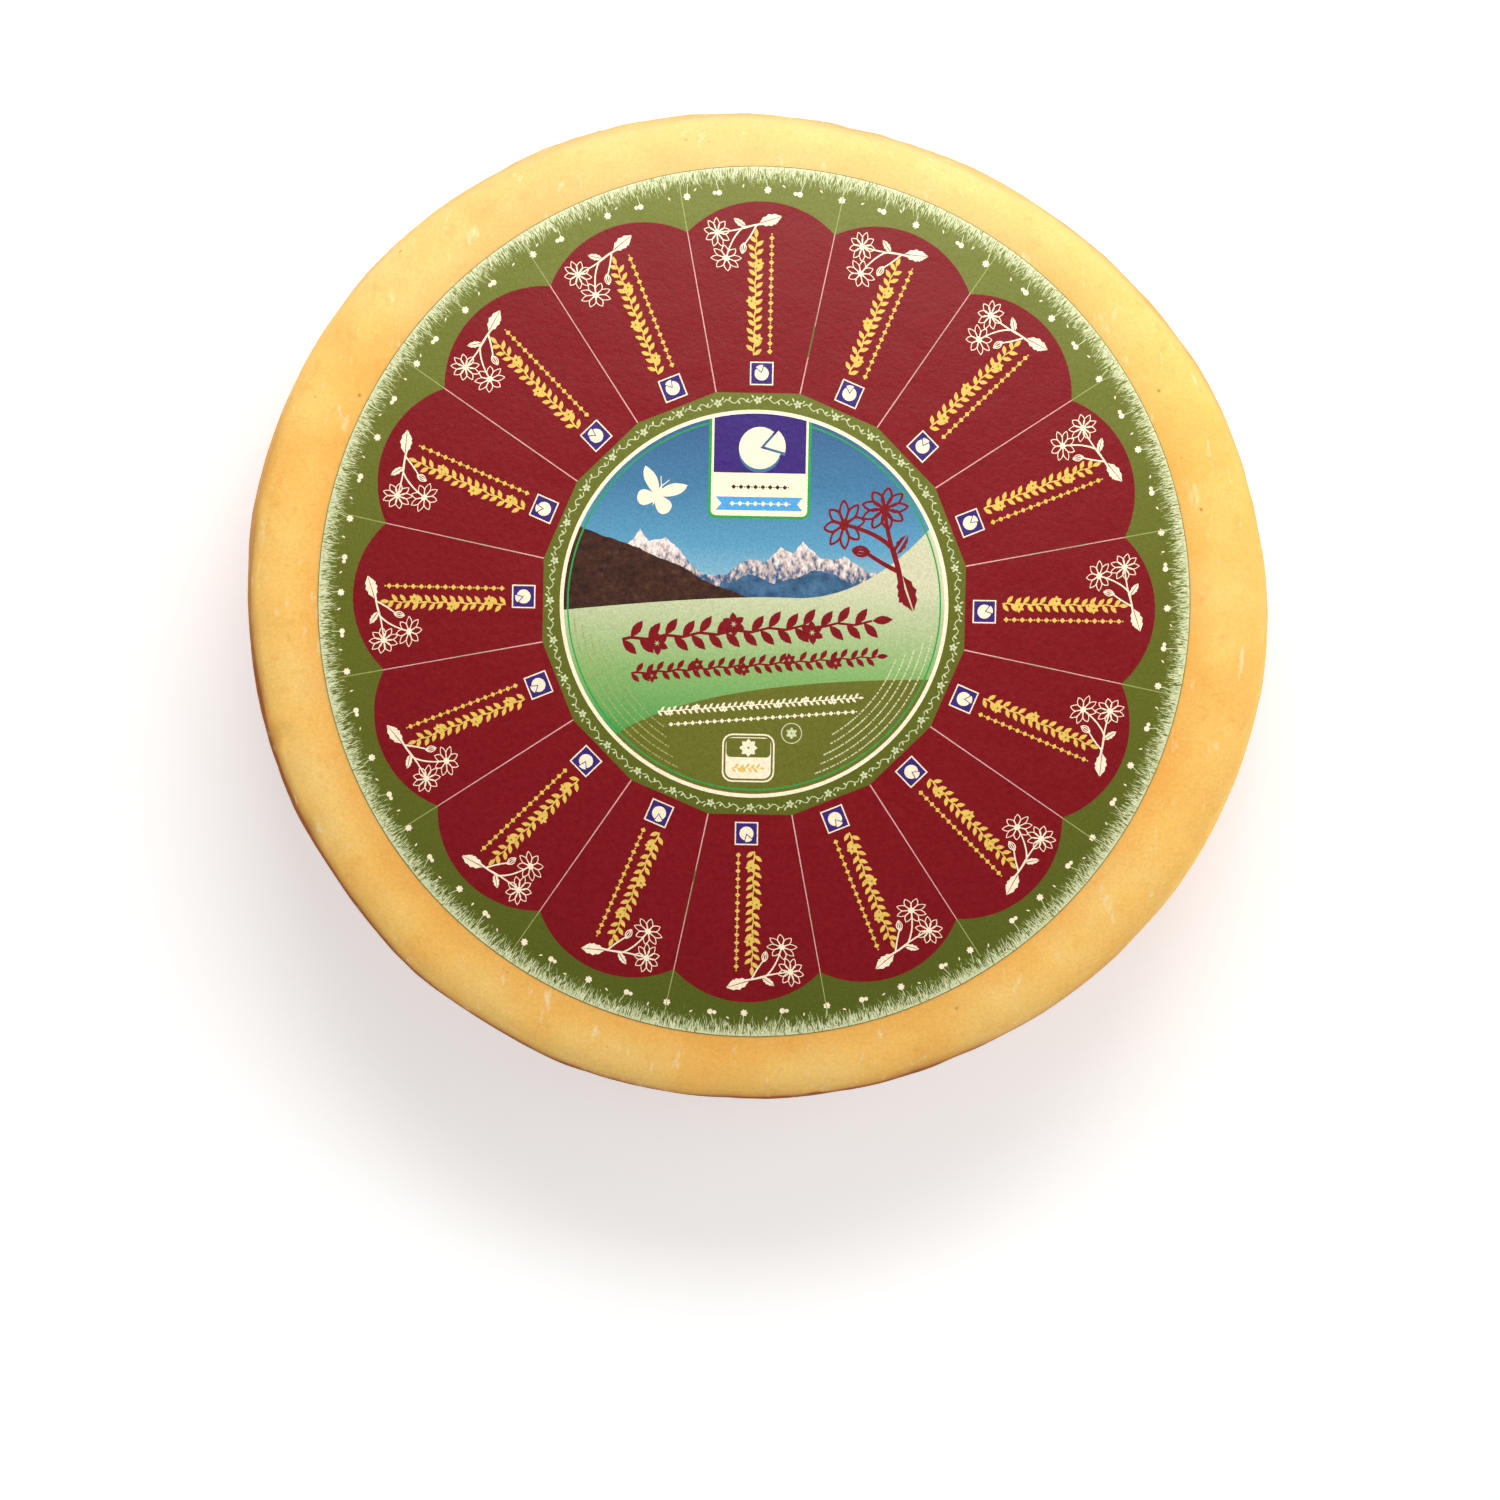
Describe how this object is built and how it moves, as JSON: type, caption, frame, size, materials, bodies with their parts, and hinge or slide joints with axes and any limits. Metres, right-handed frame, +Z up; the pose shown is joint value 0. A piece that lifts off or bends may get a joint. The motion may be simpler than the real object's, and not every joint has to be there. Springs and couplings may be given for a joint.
{
  "type": "cheese wheel",
  "caption": "Whole round wheel of semi-hard mountain cheese with a waxy golden rind, lying flat, with a round printed paper label on its domed top.",
  "frame": {"origin": "on the surface that the wheel lies on, under the middle of its outline", "axes": "+Z up through the middle of the top face and its label; +X along the wheel's slightly longer width; +Y towards the top edge of the label's picture"},
  "size_m": [0.326, 0.3142, 0.0945],
  "materials": {
    "rind": "natural cheese rind, waxy satin on the faces and drier and browner on the side",
    "label_paper": "satin printed paper with a fine embossed grain, mostly wine red and olive green"
  },
  "bodies": {
    "root": {"cheese_wheel": "rind", "label": "label_paper"}
  },
  "joints": []
}
